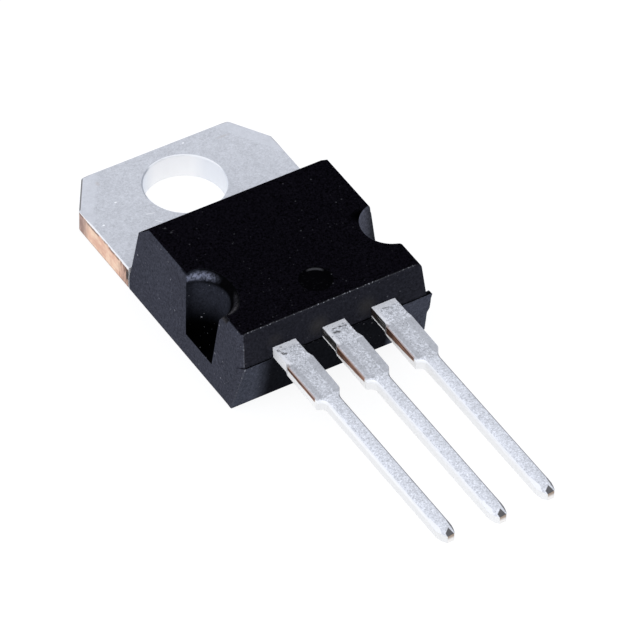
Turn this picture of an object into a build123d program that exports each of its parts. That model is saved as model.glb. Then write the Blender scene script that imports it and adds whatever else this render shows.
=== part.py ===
"""Three-lead linear voltage regulator in a flat-tab power package.

The part lies on the back of its metal tab. The origin is the centre of the
mounting hole on that back face. +Z is up through the moulded body, +Y points
to the free end of the tab, and the three leads point along -Y.
"""

import os

from build123d import *

# ---------------------------------------------------------------- dimensions
# tab and slug (one stamped strip together with the middle lead)
TAB_W = 10.12  # width of the tab
TAB_T = 1.27  # thick gauge of the strip
TAB_END = 2.70  # hole centre to the free end
TAB_SHOULDER = -3.59  # the wide tab stops here, at the body
TAB_CORNER_X = 1.19  # corner cut, across
TAB_CORNER_Y = 1.86  # corner cut, along
PRESS_W, PRESS_D = 0.70, 0.06  # pressed band along each corner cut
HOLE_D = 3.84  # mounting hole
SLUG_W = 7.50  # slug inside the body, upper step
SLUG_W_BACK = 6.90  # slug at the back face, below the locking step
SLUG_STEP = 0.60  # height of the locking step
SLUG_END = -9.60  # front end of the slug

# leads
PITCH = 2.54
LEAD_T = 0.52  # thin gauge of the strip
LEAD_Z = 2.55  # underside of the leads
ROOT_L = 0.585  # left side of a lead where it leaves the body, from its pitch line
ROOT_R = {"input": 0.595, "ground": 0.585, "output": 0.655}  # right side there
STUB_L, STUB_R = 0.66, 0.70  # sides at the cut dam-bar stubs
NARROW_L, NARROW_R = 0.335, 0.395  # sides of the long narrow part
ROLL_L, ROLL_R = 0.16, 0.09  # rolled upper edges of the narrow part
LEAD_EDGE_R = 0.04  # edge break on the rest of the upper face
TIP_Y = {"input": -26.39, "ground": -26.54, "output": -26.39}
POST_IN = -10.75  # inner end of a bonding post
POST_OUT = -12.15  # outer end of a bonding post
POST_NEAR, POST_FAR = 1.30, 3.55  # sides of a bonding post, from the centre line

# moulded body
BODY_T = 4.40  # back face to upper face
PARTING_Z = 2.55  # parting line across the front
SIDE_Z = 0.65  # parting line along the sides
BODY_HALF = 5.02  # half width at the side parting line
TOP_LEFT, TOP_RIGHT = -4.79, 4.61  # sides of the upper face
BACK_Y0, BACK_Y1 = -3.59, -3.60  # back face at Z = 0 and at SIDE_Z
BEVEL_LOW = (-4.09, 3.76)  # back bevel, lower edge (Y, Z)
BEVEL_TOP_Y = -4.80  # back bevel, upper edge
FRONT_TOP_Y = -12.64  # front face at the upper face
FRONT_PART_Y = -12.86  # front face just above the parting line
LEDGE_Y = -12.93  # lower front face at the parting line
FRONT_LOW_Y = -12.49  # lower front face at Z = 0
SPLIT_Y = -9.60  # rear and front halves of the block meet here, in the pockets
POCKET_Y = -9.60  # half-round side pockets
POCKET_RIM_Z, POCKET_FLOOR_Z = 4.02, 1.25
# centre and radius of each pocket at its floor and at its rim
POCKET_FLOOR = {-1: (-4.92, -9.63, 1.06), 1: (4.86, -9.66, 1.03)}
POCKET_RIM = {-1: (-4.92, -9.57, 1.38), 1: (4.86, -9.67, 1.30)}
LEFT_MOUTH = (-4.25, -9.63, 1.62, 0.92)  # broad oval mouth on the upper face
RIGHT_MOUTH = (4.86, -9.74, 1.40)  # plain round mouth
RIM_R_LOW, RIM_R_TOP = 0.35, 0.07  # roundings of a pocket's rim
MARK_XY, MARK_R, MARK_DEPTH = (0.04, -11.20), 0.76, 0.12  # ejector mark

# inside
DIE = (2.20, 2.00, 0.28)
DIE_Y = -6.90
SOLDER = (2.50, 2.30, 0.06)
WIRE_D = 0.20
BOND_D, BOND_T = 0.36, 0.10

LEAD_TOP = LEAD_Z + LEAD_T
DIE_TOP = TAB_T + SOLDER[2] + DIE[2]


# ------------------------------------------------------------- lead outlines
def lead_outline(name, x, inner):
    """Draw the plan outline of a lead on the pitch line x, inner points to tip."""
    right, left = inner
    tip_y = TIP_Y[name]
    neck_r, neck_l = (x + NARROW_R + 0.07, -16.71), (x - NARROW_L - 0.30, -16.70)
    low_r, low_l = (x + NARROW_R, -17.01), (x - NARROW_L, -17.02)
    Polyline(
        left[-1],
        *right,
        (x + ROOT_R[name], -13.80),
        (x + STUB_R, -14.12),
        (x + STUB_R - 0.03, -16.37),
        neck_r,
    )
    TangentArc(low_r, neck_r, tangent=(0, 1))
    Polyline(
        low_r,
        (x + NARROW_R, tip_y + 0.45),
        (x + NARROW_R - 0.03, tip_y + 0.26),
        (x + NARROW_R - 0.09, tip_y + 0.07),
        (x + NARROW_R - 0.15, tip_y),
        (x - 0.08, tip_y),
        (x - 0.24, tip_y + 0.20),
        (x - NARROW_L, tip_y + 0.55),
        low_l,
    )
    TangentArc(low_l, neck_l, tangent=(0, 1))
    Polyline(
        neck_l,
        (x - STUB_L - 0.02, -16.66),
        (x - STUB_L, -14.18),
        (x - ROOT_L, -13.96),
        *left,
    )


def roll_edges(top, x, side):
    """Upper edges of the narrow part on one side, up to its shoulder."""
    return top.edges().filter_by(
        lambda e: -24.0 < e.center().Y < -16.69 and side * (e.center().X - x) > 0.15
    )


def break_edges(top):
    """Upper edges of the stubs and the root."""
    return top.edges().filter_by(lambda e: -16.69 < e.center().Y < -12.2)


def tip_planes(x, tip_y):
    """Faces of the sheared tip: the end slope, the left roll and the right roll."""
    top = LEAD_Z + LEAD_T
    faces = []
    for a, b, c in (
        ((0.15, 0.35, 0.0), (0.235, 0.01, -0.09), (-0.06, 0.01, -0.14)),
        ((-0.175, 0.60, 0.0), (-0.125, 0.10, 0.0), (-0.335, 0.60, -0.16)),
        ((0.15, 0.35, 0.0), (0.245, 0.00, -0.10), (0.365, 0.36, -0.09)),
    ):
        a, b, c = (Vector(x + p[0], tip_y + p[1], top + p[2]) for p in (a, b, c))
        normal = (b - a).cross(c - a)
        faces.append(Plane(origin=a, z_dir=normal if normal.Z > 0 else -normal))
    return faces


def outer_lead_inner(name, side):
    """Inner ends of an outer lead: the bonding post, right then left points."""
    x = side * PITCH
    lo, hi = sorted((side * POST_NEAR, side * POST_FAR))
    right = [(hi, POST_IN), (hi, POST_OUT), (x + ROOT_R[name], POST_OUT - 0.20)]
    left = [(x - ROOT_L, POST_OUT - 0.20), (lo, POST_OUT), (lo, POST_IN)]
    return right, left


# ------------------------------------------------- tab, slug and middle lead
with BuildPart() as tab_plate:
    half = TAB_W / 2
    with BuildSketch(Plane.XY) as tab_outline:
        with BuildLine():
            Polyline(
                (-half, TAB_SHOULDER),
                (half, TAB_SHOULDER),
                (half, TAB_END - TAB_CORNER_Y),
                (half - TAB_CORNER_X, TAB_END),
                (-half + TAB_CORNER_X, TAB_END),
                (-half, TAB_END - TAB_CORNER_Y),
                close=True,
            )
        make_face()
        fillet(
            tab_outline.vertices().filter_by(lambda v: v.Y > TAB_SHOULDER + 0.5),
            radius=0.18,
        )
    extrude(amount=TAB_T)
    # rolled lower edge from the punching, and a slight break on the upper edge
    rim = tab_plate.edges().filter_by(lambda e: e.center().Y > TAB_SHOULDER + 0.01)
    fillet(rim.group_by(Axis.Z)[0], radius=0.14)
    rim = tab_plate.edges().filter_by(lambda e: e.center().Y > TAB_SHOULDER + 0.01)
    chamfer(rim.group_by(Axis.Z)[-1], length=0.035)
    # the corner cuts press the upper face down a little, in a band along each
    for side in (-1, 1):
        low = Vector(side * half, TAB_END - TAB_CORNER_Y, TAB_T - PRESS_D)
        along = Vector(-side * TAB_CORNER_X, TAB_CORNER_Y, 0).normalized()
        inward = Vector(-side * along.Y, -abs(along.X), PRESS_D / PRESS_W)
        slope = along.cross(inward)
        with BuildSketch(Plane(origin=low, z_dir=slope if slope.Z > 0 else -slope)):
            Rectangle(16.0, 16.0)
        extrude(amount=0.5, mode=Mode.SUBTRACT)
    Hole(radius=HOLE_D / 2)
    hole_rim = tab_plate.edges().filter_by(GeomType.CIRCLE)
    hole_rim = hole_rim.filter_by(lambda e: abs(e.radius - HOLE_D / 2) < 1e-6)
    fillet(hole_rim.sort_by(Axis.Z)[-1], radius=0.07)

with BuildPart() as slug:
    with BuildSketch(Plane.XY):
        with BuildLine():
            Polyline(
                (-SLUG_W_BACK / 2, TAB_SHOULDER),
                (SLUG_W_BACK / 2, TAB_SHOULDER),
                (SLUG_W_BACK / 2, SLUG_END + 0.30),
                (-SLUG_W_BACK / 2, SLUG_END + 0.30),
                close=True,
            )
        make_face()
    extrude(amount=SLUG_STEP)
    with BuildSketch(Plane.XY.offset(SLUG_STEP)):
        with BuildLine():
            Polyline(
                (-SLUG_W / 2, TAB_SHOULDER),
                (SLUG_W / 2, TAB_SHOULDER),
                (SLUG_W / 2, SLUG_END),
                (-SLUG_W / 2, SLUG_END),
                close=True,
            )
        make_face()
    extrude(amount=TAB_T - SLUG_STEP)

with BuildPart() as middle_lead:
    # side view: thin strip off the slug, bent up to the lead plane
    with BuildSketch(Plane.YZ):
        with BuildLine():
            FilletPolyline(
                (SLUG_END + 0.20, TAB_T - LEAD_T / 2),
                (-10.10, TAB_T - LEAD_T / 2),
                (-11.40, LEAD_Z + LEAD_T / 2),
                (TIP_Y["ground"], LEAD_Z + LEAD_T / 2),
                radius=0.45,
            )
        trace(line_width=LEAD_T)
    extrude(amount=1.0, both=True)
    # plan view: shoulder, dam-bar stubs and narrow tip
    with BuildSketch(Plane.XY):
        with BuildLine():
            lead_outline(
                "ground",
                0.0,
                ([(ROOT_R["ground"], SLUG_END + 0.20)], [(-ROOT_L, SLUG_END + 0.20)]),
            )
        make_face()
    extrude(amount=BODY_T, mode=Mode.INTERSECT)
    for side, radius in ((-1, ROLL_L), (1, ROLL_R)):
        top = middle_lead.faces().filter_by(Axis.Z).sort_by(Axis.Z)[-1]
        fillet(roll_edges(top, 0.0, side), radius=radius)
    top = middle_lead.faces().filter_by(Axis.Z).sort_by(Axis.Z)[-1]
    fillet(break_edges(top), radius=LEAD_EDGE_R)
    for face in tip_planes(0.0, TIP_Y["ground"]):
        with BuildSketch(face):
            Rectangle(4.0, 4.0)
        extrude(amount=0.6, mode=Mode.SUBTRACT)

with BuildPart() as heatsink_frame:
    add(tab_plate.part)
    add(slug.part)
    add(middle_lead.part)


# --------------------------------------------------------------- outer leads
with BuildPart() as input_lead:
    with BuildSketch(Plane.XY.offset(LEAD_Z)):
        with BuildLine():
            lead_outline("input", -PITCH, outer_lead_inner("input", -1))
        make_face()
    extrude(amount=LEAD_T)
    for side, radius in ((-1, ROLL_L), (1, ROLL_R)):
        top = input_lead.faces().filter_by(Axis.Z).sort_by(Axis.Z)[-1]
        fillet(roll_edges(top, -PITCH, side), radius=radius)
    top = input_lead.faces().filter_by(Axis.Z).sort_by(Axis.Z)[-1]
    fillet(break_edges(top), radius=LEAD_EDGE_R)
    for face in tip_planes(-PITCH, TIP_Y["input"]):
        with BuildSketch(face):
            Rectangle(4.0, 4.0)
        extrude(amount=0.6, mode=Mode.SUBTRACT)

with BuildPart() as output_lead:
    with BuildSketch(Plane.XY.offset(LEAD_Z)):
        with BuildLine():
            lead_outline("output", PITCH, outer_lead_inner("output", 1))
        make_face()
    extrude(amount=LEAD_T)
    for side, radius in ((-1, ROLL_L), (1, ROLL_R)):
        top = output_lead.faces().filter_by(Axis.Z).sort_by(Axis.Z)[-1]
        fillet(roll_edges(top, PITCH, side), radius=radius)
    top = output_lead.faces().filter_by(Axis.Z).sort_by(Axis.Z)[-1]
    fillet(break_edges(top), radius=LEAD_EDGE_R)
    for face in tip_planes(PITCH, TIP_Y["output"]):
        with BuildSketch(face):
            Rectangle(4.0, 4.0)
        extrude(amount=0.6, mode=Mode.SUBTRACT)


# ------------------------------------------------------------ die and solder
with BuildPart() as die_solder:
    with BuildSketch(Plane.XY.offset(TAB_T)):
        with Locations((0, DIE_Y)):
            RectangleRounded(SOLDER[0], SOLDER[1], 0.20)
    extrude(amount=SOLDER[2])

with BuildPart() as silicon_die:
    with BuildSketch(Plane.XY.offset(TAB_T + SOLDER[2])):
        with Locations((0, DIE_Y)):
            Rectangle(DIE[0], DIE[1])
    extrude(amount=DIE[2])


# ---------------------------------------------------------------- bond wires
# each wire stands on a flattened bond at both ends and arches over between
with BuildPart() as input_wire:
    with BuildLine() as input_path:
        FilletPolyline(
            (-0.70, -7.45, DIE_TOP),
            (-0.70, -7.45, 3.20),
            (-2.20, -11.35, 3.62),
            (-2.20, -11.35, LEAD_TOP),
            radius=(0.60, 0.25),
        )
    with BuildSketch(Plane(origin=(-0.70, -7.45, DIE_TOP), z_dir=(0, 0, 1))):
        Circle(WIRE_D / 2)
    sweep(path=input_path.line)
    with BuildSketch(Plane.XY.offset(DIE_TOP)):
        with Locations((-0.70, -7.45)):
            Circle(BOND_D / 2)
    extrude(amount=BOND_T)
    with BuildSketch(Plane.XY.offset(LEAD_TOP)):
        with Locations((-2.20, -11.35)):
            Circle(BOND_D / 2)
    extrude(amount=BOND_T)

with BuildPart() as output_wire:
    with BuildLine() as output_path:
        FilletPolyline(
            (0.70, -7.45, DIE_TOP),
            (0.70, -7.45, 3.20),
            (2.20, -11.35, 3.62),
            (2.20, -11.35, LEAD_TOP),
            radius=(0.60, 0.25),
        )
    with BuildSketch(Plane(origin=(0.70, -7.45, DIE_TOP), z_dir=(0, 0, 1))):
        Circle(WIRE_D / 2)
    sweep(path=output_path.line)
    with BuildSketch(Plane.XY.offset(DIE_TOP)):
        with Locations((0.70, -7.45)):
            Circle(BOND_D / 2)
    extrude(amount=BOND_T)
    with BuildSketch(Plane.XY.offset(LEAD_TOP)):
        with Locations((2.20, -11.35)):
            Circle(BOND_D / 2)
    extrude(amount=BOND_T)

with BuildPart() as ground_wire:
    with BuildLine() as ground_path:
        FilletPolyline(
            (0.0, -7.55, DIE_TOP),
            (0.0, -7.55, 2.30),
            (0.0, -8.85, 2.10),
            (0.0, -8.85, TAB_T),
            radius=(0.30, 0.30),
        )
    with BuildSketch(Plane(origin=(0.0, -7.55, DIE_TOP), z_dir=(0, 0, 1))):
        Circle(WIRE_D / 2)
    sweep(path=ground_path.line)
    with BuildSketch(Plane.XY.offset(DIE_TOP)):
        with Locations((0.0, -7.55)):
            Circle(BOND_D / 2)
    extrude(amount=BOND_T)
    with BuildSketch(Plane.XY.offset(TAB_T)):
        with Locations((0.0, -8.85)):
            Circle(BOND_D / 2)
    extrude(amount=BOND_T)


# --------------------------------------------------------------- moulded body
def side_x(edge_x, z):
    """X of a drafted side at height z, from the upper face's edge_x."""
    base = BODY_HALF if edge_x > 0 else -BODY_HALF
    return edge_x + (base - edge_x) * (BODY_T - z) / (BODY_T - SIDE_Z)


def corner_plane(a, b, c):
    """Plane through three points of a front corner, facing out of the body."""
    a, b, c = Vector(*a), Vector(*b), Vector(*c)
    normal = (b - a).cross(c - a)
    return Plane(origin=a, z_dir=-normal if normal.Y > 0 else normal)


# the same corner below the parting line, running out to nothing at the foot
LOW_CORNER = corner_plane((-4.58, LEDGE_Y, PARTING_Z), (-4.93, -12.66, PARTING_Z),
                          (-5.02, FRONT_LOW_Y + 0.02, 0))

# rear half of the block, from the back face to the pockets
with BuildPart() as rear_block:
    with BuildSketch(Plane.YZ):
        with BuildLine():
            Polyline(
                (BACK_Y0, 0),
                (BACK_Y1, SIDE_Z),
                BEVEL_LOW,
                (BEVEL_TOP_Y, BODY_T),
                (SPLIT_Y, BODY_T),
                (SPLIT_Y, 0),
                close=True,
            )
        make_face()
    extrude(amount=6.0, both=True)
    with BuildSketch(Plane.XZ) as rear_front_view:
        with BuildLine():
            Polyline(
                (-BODY_HALF + 0.01, 0),
                (-BODY_HALF, SIDE_Z),
                (TOP_LEFT, BODY_T),
                (TOP_RIGHT, BODY_T),
                (BODY_HALF, SIDE_Z),
                (BODY_HALF - 0.01, 0),
                close=True,
            )
        make_face()
        fillet(rear_front_view.vertices().group_by(Axis.Y)[-1], radius=0.14)
    extrude(amount=14.0, mode=Mode.INTERSECT)

# front half above the parting line, with rounder shoulders
with BuildPart() as front_block:
    with BuildSketch(Plane.YZ):
        with BuildLine():
            Polyline(
                (SPLIT_Y, PARTING_Z),
                (SPLIT_Y, BODY_T),
                (FRONT_TOP_Y, BODY_T),
                (FRONT_PART_Y, PARTING_Z),
                close=True,
            )
        make_face()
    extrude(amount=6.0, both=True)
    with BuildSketch(Plane.XZ) as front_view:
        with BuildLine():
            Polyline(
                (side_x(TOP_LEFT, PARTING_Z), PARTING_Z),
                (TOP_LEFT, BODY_T),
                (TOP_RIGHT, BODY_T),
                (side_x(TOP_RIGHT, PARTING_Z), PARTING_Z),
                close=True,
            )
        make_face()
        fillet(front_view.vertices().group_by(Axis.Y)[-1], radius=0.30)
    extrude(amount=14.0, mode=Mode.INTERSECT)
    # slanted corner where the front face meets the left-hand side
    with BuildSketch(corner_plane((-4.58, FRONT_PART_Y, PARTING_Z),
                                  (-4.90, -12.62, PARTING_Z),
                                  (-4.56, -12.70, 3.90))):
        Rectangle(6.0, 6.0)
    extrude(amount=2.0, mode=Mode.SUBTRACT)

# front half below the parting line
with BuildPart() as base_block:
    with BuildSketch(Plane.YZ):
        with BuildLine():
            Polyline(
                (SPLIT_Y, 0),
                (SPLIT_Y, PARTING_Z),
                (LEDGE_Y, PARTING_Z),
                (FRONT_LOW_Y, 0),
                close=True,
            )
        make_face()
    extrude(amount=6.0, both=True)
    with BuildSketch(Plane.XZ):
        with BuildLine():
            Polyline(
                (-BODY_HALF + 0.01, 0),
                (-BODY_HALF, SIDE_Z),
                (side_x(TOP_LEFT, PARTING_Z), PARTING_Z),
                (side_x(TOP_RIGHT, PARTING_Z), PARTING_Z),
                (BODY_HALF, SIDE_Z),
                (BODY_HALF - 0.01, 0),
                close=True,
            )
        make_face()
    extrude(amount=14.0, mode=Mode.INTERSECT)
    with BuildSketch(LOW_CORNER):
        Rectangle(8.0, 8.0)
    extrude(amount=2.0, mode=Mode.SUBTRACT)

# wider lip along the foot of the front face, with its ragged right-hand edge
with BuildPart() as front_lip:
    with BuildSketch(Plane.YZ):
        with BuildLine():
            Polyline(
                (FRONT_LOW_Y + 0.22, 0),
                (LEDGE_Y + 0.22, PARTING_Z + 0.05),
                (LEDGE_Y, PARTING_Z + 0.05),
                (LEDGE_Y, PARTING_Z),
                (FRONT_LOW_Y, 0),
                close=True,
            )
        make_face()
    extrude(amount=6.0, both=True)
    with BuildSketch(Plane.XZ):
        with BuildLine():
            Polyline(
                (-5.02, 0),
                (-5.03, 0.76),
                (-5.01, 1.46),
                (-4.97, 2.00),
                (-4.94, PARTING_Z),
                (side_x(TOP_RIGHT, PARTING_Z) - 0.02, PARTING_Z),
                (5.03, 2.58),
                (5.09, 2.50),
                (5.06, 2.22),
                (5.08, 1.90),
                (5.09, 1.52),
                (5.03, 1.34),
                (4.99, 1.22),
                (5.01, 0.80),
                (5.04, 0),
                close=True,
            )
        make_face()
    extrude(amount=14.0, mode=Mode.INTERSECT)
    with BuildSketch(LOW_CORNER):
        Rectangle(8.0, 8.0)
    extrude(amount=2.0, mode=Mode.SUBTRACT)

with BuildPart() as mould_body:
    add(rear_block.part)
    add(front_block.part)
    add(base_block.part)
    add(front_lip.part)
    # half-round side pockets with drafted walls and a sloping rim
    for s in (-1, 1):
        turn = 180 if s < 0 else 0
        x, y, r = POCKET_FLOOR[s]
        with BuildSketch(Plane.XY.offset(POCKET_FLOOR_Z)):
            with Locations(Location((x, y, 0), (0, 0, turn))):
                Circle(r)
        x, y, r = POCKET_RIM[s]
        with BuildSketch(Plane.XY.offset(POCKET_RIM_Z)):
            with Locations(Location((x, y, 0), (0, 0, turn))):
                Circle(r)
        loft(mode=Mode.SUBTRACT)
    # the left-hand mouth is broad and oval, the right-hand one plain
    x, y, r = POCKET_RIM[-1]
    with BuildSketch(Plane.XY.offset(POCKET_RIM_Z)):
        with Locations(Location((x, y, 0), (0, 0, 90))):
            Circle(r)
    x, y, ry, rx = LEFT_MOUTH
    with BuildSketch(Plane.XY.offset(BODY_T + 0.02)):
        with Locations((x, y)):
            Ellipse(ry, rx, rotation=90)
    loft(mode=Mode.SUBTRACT)
    x, y, r = POCKET_RIM[1]
    with BuildSketch(Plane.XY.offset(POCKET_RIM_Z)):
        with Locations((x, y)):
            Circle(r)
    x, y, r = RIGHT_MOUTH
    with BuildSketch(Plane.XY.offset(BODY_T + 0.02)):
        with Locations((x, y)):
            Circle(r)
    loft(mode=Mode.SUBTRACT)
    # the rim rolls into the wall below it and into the upper face above it
    for s, level, radius in ((-1, POCKET_RIM_Z, RIM_R_LOW), (-1, BODY_T, RIM_R_TOP), (1, BODY_T, RIM_R_TOP)):
        rim = mould_body.edges().filter_by(
            lambda e: abs(e.bounding_box().max.Z - level) < 0.01
            and abs(e.bounding_box().min.Z - level) < 0.01
            and abs(e.center().Y - POCKET_Y) < 2.0
            and 3.0 < s * e.center().X < 4.56
        )
        fillet(rim, radius=radius)
    # shallow round ejector mark on the upper face
    with BuildSketch(Plane.XY.offset(BODY_T - MARK_DEPTH)):
        with Locations(MARK_XY):
            Circle(MARK_R - 0.09)
    with BuildSketch(Plane.XY.offset(BODY_T + 0.02)):
        with Locations(MARK_XY):
            Circle(MARK_R + 0.01)
    loft(mode=Mode.SUBTRACT)
    # the resin fills round every piece that it holds
    for inner in (
        heatsink_frame,
        input_lead,
        output_lead,
        die_solder,
        silicon_die,
        input_wire,
        output_wire,
        ground_wire,
    ):
        add(inner.part, mode=Mode.SUBTRACT)


# -------------------------------------------------------------------- output
os.makedirs("parts", exist_ok=True)

heatsink_frame.part.label = "heatsink_frame"
export_step(heatsink_frame.part, "parts/heatsink_frame.step")
input_lead.part.label = "input_lead"
export_step(input_lead.part, "parts/input_lead.step")
output_lead.part.label = "output_lead"
export_step(output_lead.part, "parts/output_lead.step")
mould_body.part.label = "mould_body"
export_step(mould_body.part, "parts/mould_body.step")
silicon_die.part.label = "silicon_die"
export_step(silicon_die.part, "parts/silicon_die.step")
die_solder.part.label = "die_solder"
export_step(die_solder.part, "parts/die_solder.step")
input_wire.part.label = "input_wire"
export_step(input_wire.part, "parts/input_wire.step")
output_wire.part.label = "output_wire"
export_step(output_wire.part, "parts/output_wire.step")
ground_wire.part.label = "ground_wire"
export_step(ground_wire.part, "parts/ground_wire.step")
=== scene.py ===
import bpy
from mathutils import Matrix, Vector

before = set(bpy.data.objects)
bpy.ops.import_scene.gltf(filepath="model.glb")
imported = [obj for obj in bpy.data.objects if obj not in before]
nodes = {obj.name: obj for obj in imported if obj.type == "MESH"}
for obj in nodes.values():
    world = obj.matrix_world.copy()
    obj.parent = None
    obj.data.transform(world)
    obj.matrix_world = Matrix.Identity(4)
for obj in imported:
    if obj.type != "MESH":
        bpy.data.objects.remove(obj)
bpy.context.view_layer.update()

scene = bpy.context.scene
scene.view_settings.view_transform = "Standard"
scene.view_settings.look = "None"
scene.view_settings.exposure = 0.0
scene.view_settings.gamma = 1.0


# ------------------------------------------------------------------- camera
# fitted to the photograph's edges, in the CAD frame
CAM_POS = Vector((-0.1131381, -0.1887149, 0.2021710))
CAM_RIGHT = Vector((0.852835, -0.521772, 0.020640))
CAM_UP = Vector((0.347012, 0.595841, 0.724262))
CAM_FORWARD = Vector((0.390198, 0.610514, -0.689216))

cam_data = bpy.data.cameras.new("camera")
cam_data.sensor_fit = "HORIZONTAL"
cam_data.sensor_width = 36.0
cam_data.lens = 369.213
cam_data.clip_start = 0.01
cam_data.clip_end = 10.0
cam = bpy.data.objects.new("camera", cam_data)
scene.collection.objects.link(cam)
cam.matrix_world = Matrix((
    (CAM_RIGHT.x, CAM_UP.x, -CAM_FORWARD.x, CAM_POS.x),
    (CAM_RIGHT.y, CAM_UP.y, -CAM_FORWARD.y, CAM_POS.y),
    (CAM_RIGHT.z, CAM_UP.z, -CAM_FORWARD.z, CAM_POS.z),
    (0.0, 0.0, 0.0, 1.0),
))
scene.camera = cam


# ------------------------------------------------------------- node helpers
class Graph:
    """A material's node tree, with short calls for the nodes used here."""

    def __init__(self, name):
        self.mat = bpy.data.materials.new(name)
        self.mat.use_nodes = True
        self.tree = self.mat.node_tree
        self.tree.nodes.clear()
        self.out = self.add("ShaderNodeOutputMaterial")
        coord = self.add("ShaderNodeTexCoord")
        scale = self.add("ShaderNodeVectorMath", operation="SCALE")
        self.link(coord.outputs["Object"], scale.inputs[0])
        scale.inputs["Scale"].default_value = 1000.0
        self.p = scale.outputs["Vector"]  # the surface point, in millimetres
        self.n = coord.outputs["Normal"]
        px = self.add("ShaderNodeSeparateXYZ")
        self.link(self.p, px.inputs[0])
        self.x, self.y, self.z = px.outputs
        pn = self.add("ShaderNodeSeparateXYZ")
        self.link(self.n, pn.inputs[0])
        self.nx, self.ny, self.nz = pn.outputs

    def add(self, kind, **props):
        node = self.tree.nodes.new(kind)
        for key, value in props.items():
            setattr(node, key, value)
        return node

    def link(self, a, b):
        self.tree.links.new(a, b)

    def put(self, socket, value):
        if isinstance(value, bpy.types.NodeSocket):
            self.link(value, socket)
        elif isinstance(value, (tuple, list)):
            value = tuple(value)
            if len(value) == 3 and socket.type == "RGBA":
                value = value + (1.0,)
            socket.default_value = value
        else:
            socket.default_value = value

    def math(self, op, a, b=None, c=None, clamp=False):
        node = self.add("ShaderNodeMath", operation=op, use_clamp=clamp)
        for i, v in enumerate((a, b, c)):
            if v is not None:
                self.put(node.inputs[i], v)
        return node.outputs[0]

    def mul(self, *values):
        out = values[0]
        for v in values[1:]:
            out = self.math("MULTIPLY", out, v)
        return out

    def sum(self, *values):
        out = values[0]
        for v in values[1:]:
            out = self.math("ADD", out, v)
        return out

    def most(self, *values):
        out = values[0]
        for v in values[1:]:
            out = self.math("MAXIMUM", out, v)
        return out

    def lerp(self, value, scale, offset):
        """value * scale + offset"""
        return self.math("MULTIPLY_ADD", value, scale, offset)

    def length2(self, a, b):
        return self.math("SQRT", self.math("ADD", self.math("MULTIPLY", a, a), self.math("MULTIPLY", b, b)))

    def step(self, value, low, high, to_low=0.0, to_high=1.0):
        """A smooth step from to_low to to_high between low and high."""
        node = self.add("ShaderNodeMapRange", interpolation_type="SMOOTHSTEP")
        self.put(node.inputs["Value"], value)
        if low <= high:
            ends = (low, high, to_low, to_high)
        else:
            ends = (high, low, to_high, to_low)
        for key, v in zip(("From Min", "From Max", "To Min", "To Max"), ends):
            node.inputs[key].default_value = v
        return node.outputs["Result"]

    def window(self, value, low, high, soft):
        """1 between low and high, falling to 0 over soft outside them."""
        return self.mul(
            self.step(value, low - soft, low + soft),
            self.step(value, high + soft, high - soft),
        )

    def invert(self, value):
        return self.math("SUBTRACT", 1.0, value)

    def mix(self, factor, a, b):
        node = self.add("ShaderNodeMix", data_type="RGBA")
        self.put(node.inputs[0], factor)
        self.put(node.inputs[6], a)
        self.put(node.inputs[7], b)
        return node.outputs[2]

    def blend(self, factor, a, b):
        node = self.add("ShaderNodeMix", data_type="FLOAT")
        self.put(node.inputs[0], factor)
        self.put(node.inputs[2], a)
        self.put(node.inputs[3], b)
        return node.outputs[0]

    def tint(self, colour, value):
        """A colour times a number."""
        node = self.add("ShaderNodeVectorMath", operation="SCALE")
        self.put(node.inputs[0], colour)
        self.put(node.inputs["Scale"], value)
        return node.outputs["Vector"]

    def mapped(self, stretch=None, shift=(0, 0, 0)):
        if stretch is None and not any(shift):
            return self.p
        m = self.add("ShaderNodeMapping")
        self.link(self.p, m.inputs["Vector"])
        m.inputs["Location"].default_value = shift
        m.inputs["Scale"].default_value = stretch or (1, 1, 1)
        return m.outputs["Vector"]

    def noise(self, scale, detail=2.0, rough=0.5, stretch=None, shift=(0, 0, 0), distort=0.0):
        node = self.add("ShaderNodeTexNoise")
        self.link(self.mapped(stretch, shift), node.inputs["Vector"])
        node.inputs["Scale"].default_value = scale
        node.inputs["Detail"].default_value = detail
        node.inputs["Roughness"].default_value = rough
        node.inputs["Distortion"].default_value = distort
        return node.outputs["Fac"]

    def cells(self, scale, smooth=0.5, shift=(0, 0, 0)):
        """A random value for each crystal-like cell."""
        node = self.add("ShaderNodeTexVoronoi", feature="SMOOTH_F1")
        self.link(self.mapped(None, shift), node.inputs["Vector"])
        node.inputs["Scale"].default_value = scale
        node.inputs["Smoothness"].default_value = smooth
        sep = self.add("ShaderNodeSeparateColor")
        self.link(node.outputs["Color"], sep.inputs[0])
        return sep.outputs[0]

    def spots(self, scale, size, share, shift=(0, 0, 0)):
        """Scattered round dots: 1 inside a dot. Only a share of the cells has one."""
        node = self.add("ShaderNodeTexVoronoi", feature="F1")
        self.link(self.mapped(None, shift), node.inputs["Vector"])
        node.inputs["Scale"].default_value = scale
        sep = self.add("ShaderNodeSeparateColor")
        self.link(node.outputs["Color"], sep.inputs[0])
        chosen = self.math("LESS_THAN", sep.outputs[0], share)
        radius = self.lerp(sep.outputs[1], size * 0.7, size * 0.3)
        near = self.math("DIVIDE", node.outputs["Distance"], radius)
        return self.mul(chosen, self.step(near, 1.0, 0.6))

    def spot_at(self, centre, radii, soft=0.5):
        """One soft ellipsoid mark at a point, in millimetres."""
        sub = self.add("ShaderNodeVectorMath", operation="SUBTRACT")
        self.link(self.p, sub.inputs[0])
        sub.inputs[1].default_value = centre
        div = self.add("ShaderNodeVectorMath", operation="DIVIDE")
        self.link(sub.outputs[0], div.inputs[0])
        div.inputs[1].default_value = radii
        length = self.add("ShaderNodeVectorMath", operation="LENGTH")
        self.link(div.outputs[0], length.inputs[0])
        return self.step(length.outputs["Value"], 1.0, 1.0 - soft)

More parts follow.
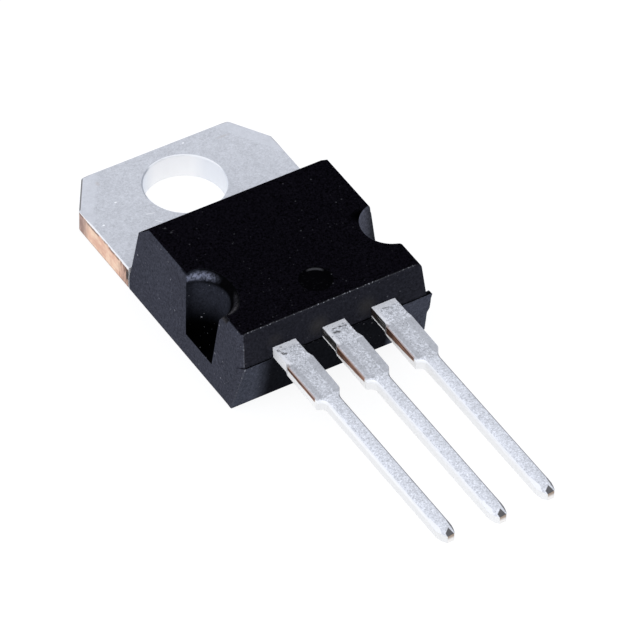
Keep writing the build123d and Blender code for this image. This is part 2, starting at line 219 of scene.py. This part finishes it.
    def stroke(self, a, b, radius, soft=0.6):
        """A soft line from a to b, in millimetres."""
        a, b = Vector(a), Vector(b)
        ab = b - a
        sub = self.add("ShaderNodeVectorMath", operation="SUBTRACT")
        self.link(self.p, sub.inputs[0])
        sub.inputs[1].default_value = a
        dot = self.add("ShaderNodeVectorMath", operation="DOT_PRODUCT")
        self.link(sub.outputs[0], dot.inputs[0])
        dot.inputs[1].default_value = ab / ab.length_squared
        t = self.math("ADD", dot.outputs["Value"], 0.0, clamp=True)
        along = self.add("ShaderNodeVectorMath", operation="SCALE")
        along.inputs[0].default_value = ab
        self.link(t, along.inputs["Scale"])
        off = self.add("ShaderNodeVectorMath", operation="SUBTRACT")
        self.link(sub.outputs[0], off.inputs[0])
        self.link(along.outputs[0], off.inputs[1])
        length = self.add("ShaderNodeVectorMath", operation="LENGTH")
        self.link(off.outputs[0], length.inputs[0])
        return self.step(length.outputs["Value"], radius, radius * (1.0 - soft))

    def bevel(self, radius_mm, samples=6):
        node = self.add("ShaderNodeBevel", samples=samples)
        node.inputs["Radius"].default_value = radius_mm / 1000.0
        return node.outputs[0]

    def bump(self, height, strength, distance_mm, normal=None):
        node = self.add("ShaderNodeBump")
        self.put(node.inputs["Height"], height)
        node.inputs["Strength"].default_value = strength
        node.inputs["Distance"].default_value = distance_mm / 1000.0
        if normal is not None:
            self.link(normal, node.inputs["Normal"])
        return node.outputs["Normal"]

    def surface(self, **inputs):
        bsdf = self.add("ShaderNodeBsdfPrincipled")
        for key, value in inputs.items():
            self.put(bsdf.inputs[key.replace("_", " ")], value)
        self.link(bsdf.outputs[0], self.out.inputs["Surface"])
        return self.mat


# ------------------------------------------------------------- moulded resin
# linear colours of the resin's zones: painted shade makes the upward-facing TOP and FRONT_HIGH dark, painted light from
# the pale floor makes SIDE and FRONT_LOW slate
SIDE = (0.0450, 0.0470, 0.0613)
FRONT_LOW = (0.0465, 0.0505, 0.0670)
FRONT_HIGH = (0.0164, 0.0168, 0.0220)
POCKET_HIGH = (0.0219, 0.0238, 0.0323)
POCKET_LOW = (0.0006, 0.0006, 0.0008)
TOP = (0.0030, 0.0026, 0.0040)


def resin():
    """Black filled epoxy, coloured by face direction: painted shade makes the upper face near-black and the pockets
    dark, painted light makes the matte sides slate.
    """
    g = Graph("mould_resin")
    cloud = g.noise(0.55, 3.0, 0.55)
    grain = g.noise(8.0, 3.0, 0.72)
    fine = g.noise(17.0, 2.0, 0.60, shift=(3, 5, 7))
    # the rear bevel and the right-hand shoulder take the upper face's painted shade
    bevel = g.mul(g.step(g.ny, 0.25, 0.45), g.step(g.nz, 0.35, 0.55), g.step(g.z, 3.68, 3.76))
    shoulder = g.mul(g.step(g.x, 3.95, 4.20), g.step(g.nz, 0.20, 0.40), g.step(g.z, 4.02, 4.10))
    top = g.most(g.mul(g.step(g.nz, 0.86, 0.97), g.step(g.z, 4.10, 4.22)), bevel, shoulder)
    front = g.step(g.ny, -0.88, -0.96)
    upper = g.step(g.z, 2.53, 2.57)

    # sides painted lighter and the front's upper part painted darker by how light falls on them, with a faint cloud and
    # a fine grain
    tone = g.sum(1.0, g.lerp(cloud, 0.34, -0.17), g.lerp(grain, 1.9, -0.95), g.lerp(fine, 1.1, -0.55))
    tone = g.math("MAXIMUM", tone, 0.35)
    # painted shadow of the leads darkens the foot between them
    painted_lead_shadow = g.mul(g.step(g.x, -4.10, -3.05), g.step(g.x, 3.30, 2.85))
    foot = g.mix(g.mul(painted_lead_shadow, 0.90), FRONT_LOW, (0.0014, 0.0014, 0.0016))
    colour = g.mix(front, SIDE, g.mix(upper, foot, FRONT_HIGH))
    # painted shade on the upward face of the ledge
    step_top = g.mul(g.step(g.y, -12.70, -12.80), g.window(g.z, 2.52, 2.64, 0.02), g.step(g.nz, 0.30, 0.60))
    colour = g.mix(step_top, colour, (0.0016, 0.0016, 0.0019))

    # half-round pockets: painted shade darkens the left-hand wall towards the floor, the front and the outer side, with
    # a black band under the rolled rims
    ax = g.math("ABSOLUTE", g.x)
    right = g.math("GREATER_THAN", g.x, 0.0)
    across = g.math("SUBTRACT", ax, g.blend(right, 4.92, 4.86))
    along = g.math("ADD", g.y, g.blend(right, 9.60, 9.69))
    dist = g.length2(across, along)
    depth = g.math("SUBTRACT", g.z, 1.25)
    radius = g.blend(right, g.lerp(depth, 0.1155, 1.10), g.lerp(depth, 0.105, 1.07))
    inside = g.mul(g.step(g.math("SUBTRACT", dist, radius), 0.03, 0.0), g.step(g.z, 1.20, 1.245))
    rim = g.mul(g.step(dist, 2.02, 1.94), g.step(g.z, 3.62, 3.80), g.step(ax, 4.80, 4.72),
                g.step(g.nz, 0.985, 0.95), g.invert(right))
    wall = g.mix(g.step(g.z, 1.70, 3.35), POCKET_LOW, POCKET_HIGH)
    wall = g.tint(wall, g.step(ax, 4.80, 4.25, 0.50, 1.0))
    wall = g.mix(g.mul(g.step(along, -0.05, -0.75), 0.80), wall, (0.0016, 0.0016, 0.0020))
    wall = g.mix(g.mul(rim, g.step(g.z, 3.76, 4.02), g.step(ax, 4.40, 3.95, 0.45, 1.0)), wall, (0.0016, 0.0016, 0.0020))
    # right-hand pocket: a painted sheen on the inner part of its wall, painted shade towards the floor and the outer
    # side
    plain = g.mix(g.step(ax, 4.90, 4.10), (0.017, 0.018, 0.020), (0.078, 0.081, 0.102))
    plain = g.tint(plain, g.step(g.z, 1.40, 2.70, 0.15, 1.0))
    wall = g.mix(right, wall, plain)
    colour = g.mix(g.most(inside, rim), colour, wall)
    colour = g.tint(colour, tone)

    # the upper face: painted shade keeps it almost black, a little violet, with a fine grain and dull smears
    smear = g.step(g.noise(0.9, 4.0, 0.6, stretch=(1.0, 0.35, 1.0), shift=(2, 9, 0)), 0.52, 0.74)
    face = g.mix(g.mul(smear, 0.35), TOP, (0.0050, 0.0046, 0.0066))
    face = g.tint(face, g.math("MAXIMUM", g.sum(g.lerp(fine, 4.0, -1.5), g.lerp(grain, 4.0, -1.5)), 0.05))
    scuff = g.most(
        g.stroke((-4.15, -4.90, 4.40), (-3.80, -5.35, 4.40), 0.16, 0.9),
        g.stroke((-3.95, -5.40, 4.40), (-3.75, -6.00, 4.40), 0.12, 0.9),
    )
    scuff = g.mul(scuff, g.step(g.noise(7.0, 2.0, 0.6), 0.54, 0.70))
    face = g.mix(g.mul(scuff, 0.45), face, (0.085, 0.085, 0.090))
    # painted shade on the upper face beside the right-hand pocket
    painted_shade_patch = g.spot_at((3.85, -8.66, 4.40), (0.60, 0.55, 0.40), 0.8)
    face = g.mix(painted_shade_patch, face, (0.0002, 0.0002, 0.0003))
    colour = g.mix(g.mul(top, g.invert(rim), g.invert(g.mul(right, inside))), colour, face)

    # painted highlight, speckled, on the rear of the rolled rim, and a dim painted highlight on its front
    speck = g.step(g.noise(9.5, 2.5, 0.7, shift=(2, 2, 2)), 0.34, 0.66)
    painted_rim_highlight = g.mul(rim, g.window(g.z, 4.07, 4.29, 0.11), g.step(along, 0.45, 1.10), g.step(ax, 3.20, 4.10))
    colour = g.mix(g.mul(painted_rim_highlight, g.lerp(speck, 0.72, 0.16)), colour, (0.26, 0.28, 0.37))
    painted_rim_glow = g.mul(rim, g.window(g.z, 4.18, 4.33, 0.09), g.step(along, -0.30, -0.85))
    colour = g.mix(g.mul(painted_rim_glow, g.lerp(speck, 0.7, 0.2)), colour,
                   g.mix(g.step(along, -1.05, -1.40), (0.034, 0.033, 0.038), (0.085, 0.080, 0.085)))

    # ejector mark: black dish with painted glints inside and a painted highlight sliver on its rear wall
    mx, my = g.math("SUBTRACT", g.x, 0.04), g.math("ADD", g.y, 11.20)
    mr = g.length2(mx, my)
    dish = g.mul(g.step(mr, 0.80, 0.77), g.step(g.z, 4.24, 4.26))
    painted_glints = g.step(g.noise(5.0, 2.0, 0.5, stretch=(1.0, 2.2, 1.0), shift=(7, 7, 0)), 0.58, 0.72)
    dish_colour = g.mix(g.mul(painted_glints, 0.6), (0.0014, 0.0013, 0.0018), (0.012, 0.012, 0.013))
    colour = g.mix(dish, colour, dish_colour)
    toward = g.math("DIVIDE", g.sum(g.mul(mx, 0.45), g.mul(my, 0.89)), g.math("MAXIMUM", mr, 0.01))
    painted_sliver = g.mul(dish, g.window(mr, 0.69, 0.735, 0.02), g.step(toward, 0.80, 0.97))
    colour = g.mix(g.mul(painted_sliver, 0.40), colour, (0.15, 0.15, 0.16))

    # dust, and painted reflections of the leads on the front above them
    dust = g.most(g.spots(2.2, 0.125, 0.75), g.mul(g.spots(3.8, 0.15, 0.55, shift=(4, 1, 2)), 0.6))
    colour = g.mix(g.mul(dust, g.blend(top, g.blend(front, 0.45, 0.16), 0.08)), colour, (0.40, 0.40, 0.43))
    haze_and_painted_reflection = g.most(
        g.spot_at((-0.75, -12.78, 3.25), (0.75, 0.6, 0.75), 1.0),
        g.mul(g.spot_at((1.72, -12.78, 3.25), (0.70, 0.6, 0.75), 1.0), 0.9),
        g.mul(g.spot_at((-2.98, -12.76, 3.42), (0.60, 0.6, 0.50), 1.0), 0.55),
    )
    colour = g.mix(g.mul(haze_and_painted_reflection, front, upper, 0.26), colour, (0.072, 0.066, 0.055))

    # worn edges: dotted along the upper face's front and the front left-hand corner
    dots = g.step(g.noise(8.0, 2.5, 0.7, shift=(1, 2, 3)), 0.54, 0.70)
    crest = g.most(
        g.stroke((-4.42, -12.64, 4.40), (4.30, -12.64, 4.40), 0.045, 0.5),
        g.stroke((-4.42, -12.64, 4.40), (-4.62, -12.68, 4.27), 0.05, 0.5),
    )
    crest = g.mul(crest, g.lerp(dots, 0.75, 0.04))
    corner = g.mul(g.stroke((-4.58, -12.93, 2.55), (-5.02, -12.48, 0.0), 0.05, 0.5), g.lerp(dots, 0.26, 0.02))
    corner = g.most(corner, g.mul(g.stroke((-4.60, -12.85, 2.62), (-4.56, -12.70, 3.88), 0.045, 0.6),
                                  g.lerp(dots, 0.30, 0.04)))
    ledge = g.mul(g.stroke((-4.4, -12.93, 2.58), (4.9, -12.93, 2.58), 0.05, 0.5), dots, 0.12)
    colour = g.mix(g.most(crest, corner, ledge), colour, (0.55, 0.56, 0.60))

    # a dull pale arc on the left-hand side of the front ear
    pale_arc = g.most(g.stroke((-4.94, -10.92, 2.05), (-4.97, -11.15, 1.66), 0.07, 0.9),
                 g.stroke((-4.97, -11.15, 1.66), (-4.99, -11.60, 1.45), 0.07, 0.9))
    colour = g.mix(g.mul(pale_arc, 0.40), colour, (0.085, 0.088, 0.115))

    rough = g.blend(top, g.lerp(cloud, 0.12, 0.58), g.lerp(smear, 0.12, 0.42))
    height = g.math("ADD", g.mul(grain, 0.6), g.mul(fine, 0.4))
    normal = g.bump(height, 0.35, 0.012, g.bevel(0.05))
    return g.surface(Base_Color=colour, Roughness=rough, Normal=normal, Specular_IOR_Level=0.0)


# -------------------------------------------------------------- plated metal
PLATE_METAL = 0.45  # matte plate scatters much of its light
COPPER_DARK = (0.12, 0.050, 0.029)
COPPER_MID = (0.32, 0.145, 0.083)


def tin(name, paint, tip_y):
    """Satin tin plate over copper, with the zones that paint adds."""
    g = Graph(name)
    crystal = g.cells(9.5, 0.2)
    mottle = g.noise(12.0, 3.0, 0.70)
    fine = g.noise(24.0, 2.0, 0.6, shift=(5, 1, 9))
    cloud = g.noise(0.8, 3.0, 0.5, shift=(0, 3, 0))
    grain = g.sum(g.lerp(mottle, 1.45, -0.725), g.lerp(crystal, 0.30, -0.15), g.lerp(fine, 0.90, -0.45))
    haze_and_painted_reflection = g.lerp(cloud, 0.16, -0.08)
    colour, bare = paint(g, grain, haze_and_painted_reflection, tip_y)
    height = g.sum(g.mul(mottle, 0.6), g.mul(fine, 0.4))
    rough = g.blend(bare, g.lerp(mottle, 0.20, 0.40), g.lerp(fine, 0.20, 0.36))
    normal = g.bump(height, 0.22, 0.016, g.bevel(0.03))
    dull = g.mul(g.step(g.y, -14.90, -13.20), g.step(g.y, -10.50, -11.50))  # dullest beside the body
    metal = g.blend(bare, g.lerp(dull, -0.35, PLATE_METAL), 1.0)
    return g.surface(Base_Color=colour, Metallic=metal, Roughness=rough, Normal=normal)


def lead_paint(g, grain, haze_and_painted_reflection, tip_y):
    """Root, cut dam-bar stubs, rolled narrow part and sheared tip of a lead."""
    # across the lead, from its pitch line
    rel = g.math("SUBTRACT", g.math("FLOORED_MODULO", g.math("ADD", g.x, 1.27 + 2.54), 2.54), 1.27)
    facing = g.step(g.math("ABSOLUTE", g.nx), 0.70, 0.90)
    flat = g.step(g.nz, 0.80, 0.93)
    stub = g.window(g.y, -16.60, -14.17, 0.03)
    root = g.step(g.y, -14.18, -14.02)
    fade = g.step(g.y, -14.70, -13.20)  # the stub's pressed band runs out along the root
    pressed = g.mul(g.step(g.y, -16.63, -16.57), g.invert(fade))
    narrow = g.step(g.y, -16.55, -16.95)
    first = g.step(g.x, -1.6, -1.9)  # the left-hand lead

    # plate: brightest on the narrow part, dull bands where the stubs were pressed
    bright = g.step(g.y, -16.60, -19.50)
    level = g.sum(0.672, g.mul(narrow, 0.025), g.mul(bright, 0.046), g.mul(pressed, -0.080), g.mul(fade, 0.05))
    level = g.mul(level, g.blend(g.mul(narrow, flat), 1.0, g.lerp(rel, -0.26, 1.0)))
    press = g.most(g.mul(g.step(rel, 0.27, 0.35), 0.17), g.mul(g.window(rel, -0.54, -0.30, 0.05), 0.18))
    level = g.mul(level, g.sum(1.0, g.mul(press, stub, -1.0)))
    quiet = g.mul(stub, g.most(g.step(rel, 0.30, 0.38), g.mul(g.step(rel, -0.30, -0.38), 0.8)))
    share = g.mul(g.blend(flat, 0.20, 1.0), g.lerp(quiet, -0.6, 1.0), g.blend(narrow, 1.12, 0.85),
                  g.lerp(fade, 0.25, 1.0))
    level = g.mul(level, g.sum(1.0, g.mul(grain, share), haze_and_painted_reflection))
    colour = g.tint((0.985, 1.0, 1.035), level)
    # painted glints: near-white along the root's edge at the body and along its left-hand edge
    rim = g.mul(root, flat, g.most(g.mul(g.step(g.y, -13.20, -12.95), 0.80), g.mul(g.step(rel, -0.32, -0.48), 0.90)))
    colour = g.mix(rim, colour, (0.95, 0.95, 0.96))
    pits = g.most(g.spots(4.0, 0.28, 0.50), g.mul(g.spots(7.0, 0.30, 0.50, shift=(2, 5, 1)), 0.7))
    pits = g.mul(pits, flat, g.most(stub, root), g.invert(g.mul(quiet, 0.85)))
    colour = g.mix(g.mul(pits, g.lerp(fade, 0.18, 0.45)), colour, (0.20, 0.20, 0.22))
    pits = g.mul(g.spots(3.0, 0.12, 0.30, shift=(1, 0, 3)), flat, narrow)
    colour = g.mix(g.mul(pits, 0.55), colour, (0.20, 0.20, 0.22))

    # rolled left edge and left side: painted highlight, brightest on the first lead; right edge: a thin line of painted
    # shade
    left = g.mul(g.step(g.y, -16.50, -16.62), g.step(rel, -0.02, -0.12), g.step(g.nz, 0.94, 0.80))
    side = g.mix(first, (0.87, 0.87, 0.865), (0.82, 0.82, 0.815))
    colour = g.mix(left, colour, g.mix(g.step(g.nz, 0.05, 0.30), side, g.mix(first, (0.97, 0.97, 0.965), (0.93, 0.93, 0.925))))
    line = g.mul(narrow, g.step(g.nx, 0.06, 0.30), g.step(g.z, 2.80, 2.94), g.step(rel, 0.29, 0.31))
    colour = g.mix(g.mul(line, 0.85), colour, (0.10, 0.095, 0.095))

    # sheared sides of the root: near-white on the first lead, with dark streaks on the others
    streak = g.noise(3.0, 3.0, 0.65, stretch=(1.0, 0.6, 3.0), shift=(3, 1, 0))
    root_side = g.mul(facing, root)
    colour = g.mix(root_side, colour, (0.99, 0.99, 0.99))
    dark_root_sides = g.mul(root_side, g.invert(first), g.step(g.z, 2.61, 2.66))
    root_side_streaks = g.mix(g.step(streak, 0.46, 0.64), (0.022, 0.016, 0.013), (0.50, 0.48, 0.46))
    root_side_streaks = g.mix(g.mul(g.step(g.y, -13.45, -13.15), g.step(g.x, 1.2, 1.6)), root_side_streaks, (0.075, 0.036, 0.022))
    colour = g.mix(g.mul(dark_root_sides, 0.92), colour, root_side_streaks)

    # cut faces of the dam bar: a copper strip along the top, burnished below
    run = g.math("MULTIPLY_ADD", g.y, -0.41667, -5.9167, clamp=True)
    low = g.blend(first, g.lerp(run, 0.20, 2.66), 2.88)
    wave = g.lerp(g.noise(1.3, 2.0, 0.5, shift=(2, 0, 5)), 0.10, -0.05)
    rise = g.math("SUBTRACT", g.z, g.sum(low, wave))
    cut = g.mul(facing, stub)
    copper = g.mix(g.step(streak, 0.38, 0.66), COPPER_DARK, COPPER_MID)
    # painted highlight along the strip's top edge on the middle lead, a dark edge line on the others
    crown = g.mix(g.window(g.x, -1.2, 1.2, 0.1), (0.10, 0.050, 0.034), (0.48, 0.28, 0.19))
    copper = g.mix(g.mul(g.step(g.z, 2.97, 3.02), 0.7), copper, crown)
    colour = g.mix(cut, colour, (0.90, 0.895, 0.885))
    strip = g.mul(facing, g.window(g.y, -16.50, -14.17, 0.03), g.step(rise, -0.02, 0.03))
    colour = g.mix(strip, colour, copper)
    blush = g.mul(g.step(g.nz, 0.40, 0.70), g.window(g.y, -16.48, -14.17, 0.03), g.step(rel, -0.585, -0.645))
    colour = g.mix(g.mul(blush, 0.75), colour, (0.45, 0.30, 0.24))
    start = g.mul(g.most(facing, g.mul(flat, g.step(rel, -0.50, -0.57))), g.window(g.y, -14.26, -14.02, 0.05),
                  g.step(g.z, 2.84, 2.92))
    colour = g.mix(g.mul(start, 0.55), colour, (0.22, 0.15, 0.11))

    # sheared tip: dark torn patch above, tan end that pales to its foot
    ahead = g.math("SUBTRACT", g.y, tip_y)
    torn = g.sum(g.mul(g.math("SUBTRACT", rel, 0.15), 0.58), g.mul(g.math("SUBTRACT", ahead, 0.35), -0.815))
    torn = g.mul(g.step(torn, -0.015, 0.02), g.step(rel, -0.105, -0.075), g.step(g.nz, 0.80, 0.86),
                 g.step(ahead, 0.50, 0.42), g.step(g.nx, 0.30, 0.16))
    colour = g.mix(g.mul(torn, 0.93), colour, (0.066, 0.062, 0.060))
    end = g.mul(g.step(ahead, 0.20, 0.15), g.step(g.ny, -0.90, -0.97))
    tan = g.mix(g.step(g.z, 2.90, 2.66), (0.35, 0.27, 0.21), (0.88, 0.86, 0.83))
    colour = g.mix(end, colour, tan)

    # dents and mould bleed on the plate beside the body
    def dent(points, radius):
        return g.most(*[g.stroke(a, b, radius) for a, b in zip(points, points[1:])])

    marks = g.most(
        dent([(-3.02, -13.08, 3.07), (-2.98, -13.24, 3.07), (-2.86, -13.42, 3.07)], 0.085),
        dent([(-2.93, -13.40, 3.07), (-2.80, -13.42, 3.07)], 0.07),
        dent([(-2.83, -12.92, 3.07), (-2.78, -12.96, 3.07)], 0.04),
        dent([(0.10, -13.14, 3.07), (0.40, -13.20, 3.07)], 0.065),
        dent([(-0.22, -13.12, 3.07), (-0.08, -13.14, 3.07)], 0.05),
        dent([(-0.28, -13.36, 3.07), (-0.10, -13.40, 3.07)], 0.09),
        dent([(2.36, -13.10, 3.07), (2.52, -13.16, 3.07)], 0.04),
    )
    ragged = g.step(g.noise(7.0, 2.0, 0.6, shift=(6, 0, 0)), 0.32, 0.50)
    colour = g.mix(g.mul(marks, ragged, flat, 0.88), colour, (0.045, 0.042, 0.042))
    return colour, g.most(strip, dark_root_sides)


def tab_paint(g, grain, haze_and_painted_reflection, tip_y):
    """The middle lead as the others; the tab plated, its sheared sides bare copper."""
    colour, bare = lead_paint(g, grain, haze_and_painted_reflection, tip_y)
    tab = g.step(g.y, -3.80, -3.70)
    ax = g.math("ABSOLUTE", g.x)
    flat = g.step(g.nz, 0.80, 0.96)
    # distance in from the corner cut, across the upper face
    inset = g.math("SUBTRACT", g.mul(g.math("SUBTRACT", 5.06, ax), 0.8424),
                   g.mul(g.math("SUBTRACT", g.y, 0.84), 0.5389))
    press = g.step(inset, 0.80, 0.62)
    blotch = g.lerp(g.noise(3.5, 3.0, 0.60, shift=(4, 4, 0)), 0.24, -0.12)
    level = g.sum(0.612, g.mul(press, 0.038))
    level = g.mul(level, g.sum(1.0, g.mul(grain, g.blend(press, 0.40, 0.16)), blotch, haze_and_painted_reflection))
    plate = g.tint((0.985, 1.0, 1.035), level)
    side_plate = g.tint((0.74, 0.745, 0.76), g.sum(1.0, g.mul(grain, 0.15)))
    plate = g.mix(flat, side_plate, plate)

    # hole: pale wall with faint upright drag marks and painted shade towards its left and right; a painted highlight
    # line on the far rim, a painted shade line on the near rim
    hr = g.length2(g.x, g.y)
    hole = g.mul(g.step(hr, 2.03, 1.99), tab)
    drag = g.noise(2.6, 3.0, 0.6, stretch=(1.0, 1.0, 0.12), shift=(1, 1, 4))
    wall = g.mix(g.step(g.x, -1.75, -0.35), (0.78, 0.82, 0.88), (0.945, 0.945, 0.95))
    wall = g.mix(g.step(g.x, 1.15, 1.80), wall, (0.84, 0.86, 0.90))
    wall = g.tint(wall, g.lerp(drag, 0.06, 0.97))
    plate = g.mix(g.mul(hole, g.invert(flat)), plate, wall)
    lip = g.mul(g.window(hr, 1.925, 1.985, 0.02), g.step(g.z, 1.15, 1.20))
    far = g.sum(g.mul(g.x, 0.277), g.mul(g.y, 0.431))
    near = g.sum(g.mul(g.x, -0.437), g.mul(g.y, 0.268))
    plate = g.mix(g.mul(lip, g.step(far, 0.45, 0.65), 0.95), plate, (0.99, 0.99, 0.99))
    plate = g.mix(g.mul(lip, g.step(near, 0.82, 0.92), 0.60), plate, (0.18, 0.19, 0.22))

    # small marks on the upper face
    bright = g.most(
        g.spot_at((-3.37, 0.475, 1.27), (0.09, 0.05, 0.06), 0.5),
        g.spot_at((-4.60, -0.58, 1.27), (0.09, 0.06, 0.06), 0.6),
        g.spot_at((1.31, 2.40, 1.27), (0.07, 0.05, 0.06), 0.5),
        g.spot_at((1.73, -0.20, 1.27), (0.06, 0.06, 0.06), 0.5),
        g.mul(g.stroke((-2.55, -0.90, 1.27), (-2.20, -1.00, 1.27), 0.035), 0.6),
        g.mul(g.stroke((-2.40, -1.45, 1.27), (-2.20, -1.70, 1.27), 0.035), 0.6),
    )
    plate = g.mix(g.mul(bright, flat), plate, (0.97, 0.97, 0.97))
    stain = g.most(g.spot_at((-3.44, 1.97, 1.27), (0.14, 0.22, 0.2), 0.9),
                   g.mul(g.spot_at((3.14, 1.89, 1.27), (0.50, 0.10, 0.2), 0.9), 0.8))
    plate = g.mix(g.mul(stain, flat, 0.35), plate, (0.48, 0.41, 0.36))
    pits = g.mul(g.spots(4.2, 0.16, 0.40, shift=(2, 0, 1)), flat)
    plate = g.mix(g.mul(pits, 0.25), plate, (0.30, 0.31, 0.34))

    # sheared copper sides
    outer = g.mul(g.step(ax, 4.60, 4.75), g.step(g.y, 0.98, 0.90))
    facing = g.step(g.math("ABSOLUTE", g.nx), 0.35, 0.60)
    ripple = g.noise(1.4, 2.0, 0.5, stretch=(0, 1, 0), shift=(0, 4, 1))
    fringe = g.noise(6.0, 2.0, 0.6, shift=(0, 2, 2))
    brow = g.sum(1.075, g.mul(ripple, 0.18), g.lerp(fringe, 0.08, -0.04))
    below = g.math("SUBTRACT", brow, g.z)
    side = g.mul(facing, outer, g.step(below, -0.015, 0.015))
    streak = g.noise(2.0, 3.0, 0.6, stretch=(1.0, 2.4, 0.5), shift=(0, 7, 0))
    patch = g.noise(1.1, 3.0, 0.6, stretch=(1.0, 1.0, 1.6), shift=(0, 1, 3))
    peach = g.mix(g.step(patch, 0.36, 0.62), (0.73, 0.46, 0.35), (0.88, 0.66, 0.51))
    peach = g.tint(peach, g.lerp(streak, 0.30, 0.86))
    mauve = g.mix(g.step(streak, 0.35, 0.65), (0.31, 0.20, 0.17), (0.52, 0.36, 0.31))
    brown = g.mix(g.step(streak, 0.42, 0.58), (0.14, 0.070, 0.048), (0.57, 0.37, 0.29))
    flank = g.mix(g.step(g.sum(g.y, g.lerp(patch, 0.9, -0.45)), -0.25, 0.65), peach, mauve)
    flank = g.mix(g.step(g.sum(g.y, g.lerp(streak, 0.6, -0.3)), -2.65, -3.05), flank, brown)
    # painted shadow in the gap beside the body
    flank = g.mix(g.mul(g.step(g.y, -3.34, -3.42), g.step(g.z, 0.40, 0.60), 0.95), flank, (0.012, 0.008, 0.007))
    # painted shadow line under the burr; a brown foot darkened by painted shade
    under = g.mul(g.step(below, 0.14, 0.08), g.step(g.noise(2.2, 2.0, 0.5, shift=(0, 0, 6)), 0.36, 0.50))
    flank = g.mix(g.mul(under, 0.80), flank, (0.15, 0.072, 0.050))
    flank = g.mix(g.mul(g.step(g.z, 0.20, 0.09), 0.65), flank, (0.22, 0.125, 0.095))
    plate = g.mix(side, plate, flank)
    burr = g.mul(facing, outer, g.step(below, 0.0, -0.04))
    plate = g.mix(g.mul(burr, 0.85), plate, (0.97, 0.97, 0.975))

    # corner cuts in painted shade, with a painted shade line along the upper edge of the left-hand one
    cut = g.mul(g.step(g.math("ABSOLUTE", g.nx), 0.66, 0.74), g.step(g.ny, 0.30, 0.42), g.step(g.y, 0.86, 0.96))
    edge = g.mul(g.step(inset, 0.080, 0.050), g.step(g.y, 0.82, 0.92), g.step(g.y, 2.70, 2.60), g.step(g.x, 0.1, -0.1))
    plate = g.mix(g.mul(g.most(cut, g.mul(edge, 0.85)), tab, 0.9), plate, (0.075, 0.062, 0.055))
    # painted shade lines along the far edges of the upper face
    far = g.mul(flat, g.most(g.step(g.y, 2.645, 2.675), g.step(g.x, 4.995, 5.025)))
    plate = g.mix(g.mul(far, 0.55), plate, (0.42, 0.40, 0.39))
    colour = g.mix(tab, colour, plate)
    bare = g.most(g.mul(bare, g.invert(tab)), side)
    return colour, bare


# ------------------------------------------------------------- sealed pieces
def inner_metal(name, colour, rough):
    g = Graph(name)
    n = g.noise(9.0, 3.0, 0.6)
    c = g.tint(colour, g.lerp(n, 0.3, 0.85))
    return g.surface(Base_Color=c, Metallic=1.0, Roughness=g.lerp(n, 0.2, rough), Normal=g.bump(n, 0.2, 0.01))


def silicon():
    g = Graph("silicon")
    n = g.noise(6.0, 3.0, 0.5)
    c = g.mix(n, (0.05, 0.055, 0.075), (0.09, 0.10, 0.13))
    return g.surface(Base_Color=c, Roughness=g.lerp(n, 0.1, 0.18))


def dress(node, material):
    obj = nodes[node]
    obj.data.materials.clear()
    obj.data.materials.append(material)


dress("mould_body", resin())
dress("heatsink_frame", tin("tinned_tab", tab_paint, -26.54))
lead_metal = tin("tinned_lead", lead_paint, -26.39)
dress("input_lead", lead_metal)
dress("output_lead", lead_metal)
dress("silicon_die", silicon())
dress("die_solder", inner_metal("solder", (0.50, 0.50, 0.53), 0.40))
wire_metal = inner_metal("bond_wire", (0.86, 0.86, 0.88), 0.25)
for wire in ("input_wire", "output_wire", "ground_wire"):
    dress(wire, wire_metal)


# ------------------------------------------------------------ floor and light
def floor_material():
    g = Graph("floor_pale")
    n = g.noise(0.02, 2.0, 0.5)
    c = g.tint((0.20, 0.20, 0.20), g.lerp(n, 0.02, 0.99))
    return g.surface(Base_Color=c, Roughness=0.85, Specular_IOR_Level=0.1,
                     Emission_Color=(1.0, 1.0, 1.0), Emission_Strength=0.86)


mesh = bpy.data.meshes.new("floor")
s = 1.2
mesh.from_pydata([(-s, -s, 0), (s, -s, 0), (s, s, 0), (-s, s, 0)], [], [(0, 1, 2, 3)])
floor = bpy.data.objects.new("floor", mesh)
floor.location = (0.0, -0.01, -0.00002)
scene.collection.objects.link(floor)
mesh.materials.append(floor_material())

world = bpy.data.worlds.new("studio")
scene.world = world
world.use_nodes = True
world.node_tree.nodes["Background"].inputs[0].default_value = (0.888, 0.917, 1.0, 1.0)
world.node_tree.nodes["Background"].inputs[1].default_value = 1.0


def softbox(name, place, target, size, watts, colour=(1, 1, 1)):
    data = bpy.data.lights.new(name, "AREA")
    data.shape = "RECTANGLE"
    data.size, data.size_y = size
    data.energy = watts
    data.color = colour
    obj = bpy.data.objects.new(name, data)
    obj.location = place
    obj.rotation_euler = (Vector(target) - Vector(place)).to_track_quat("-Z", "Y").to_euler()
    scene.collection.objects.link(obj)
    return obj


AIM = (0.0, -0.011, 0.002)
softbox("key", (-0.35, -0.15, 0.55), AIM, (0.5, 0.4), 0.6)
